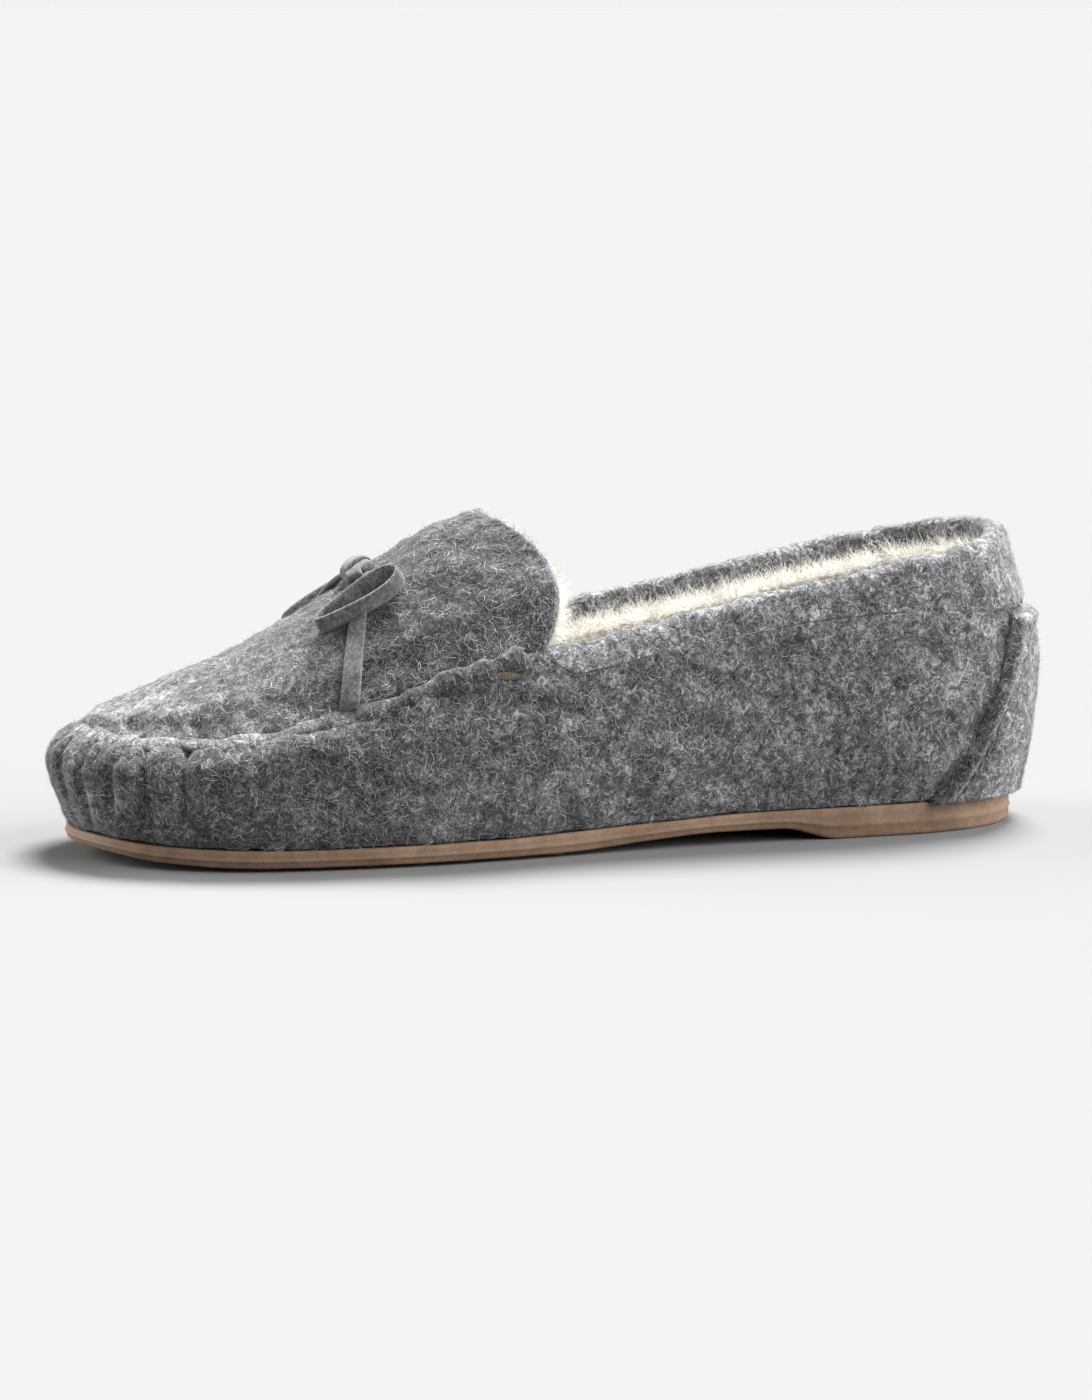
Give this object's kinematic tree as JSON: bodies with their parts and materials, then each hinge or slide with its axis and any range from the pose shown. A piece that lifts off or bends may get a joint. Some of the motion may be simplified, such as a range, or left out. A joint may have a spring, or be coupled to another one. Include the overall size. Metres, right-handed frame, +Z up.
{
  "type": "house slipper",
  "caption": "Left-foot moccasin house slipper in heathered wool felt with a fur lining, a suede lace bow, a heel patch and a studded rubber outsole.",
  "frame": {"origin": "on the ground, under the middle of the slipper's bounding box", "axes": "+Z up, +Y from toe to heel, +X towards the outer (lateral) side of the left foot"},
  "size_m": [0.0856, 0.257, 0.083],
  "materials": {
    "rubber": "matte, fine grain",
    "felt": "short-napped heathered wool felt",
    "fur": "deep pile",
    "suede": "napped suede",
    "sewing": "twisted thread",
    "board": "pressed fibre board",
    "foam": "open-cell foam",
    "stiffener": "resin-stiffened cloth"
  },
  "bodies": {
    "root": {"outsole": "rubber", "bottom_filler": "foam", "insole_board": "board", "footbed_foam": "foam", "footbed_fur_sock": "fur", "moccasin_wall": "felt", "apron_plug": "felt", "collar_band": "felt", "heel_patch": "felt", "heel_counter": "stiffener", "toe_wall_lining": "fur", "quarter_lining_lateral": "fur", "quarter_lining_medial": "fur", "apron_lining": "fur", "apron_seam_thread": "sewing", "collar_thread": "sewing", "heel_patch_thread": "sewing", "throat_tack_lateral": "sewing", "throat_tack_medial": "sewing", "lace_knot": "suede", "lace_loop_lateral": "suede", "lace_loop_medial": "suede", "lace_tail_lateral": "suede", "lace_tail_medial": "suede"}
  },
  "joints": []
}
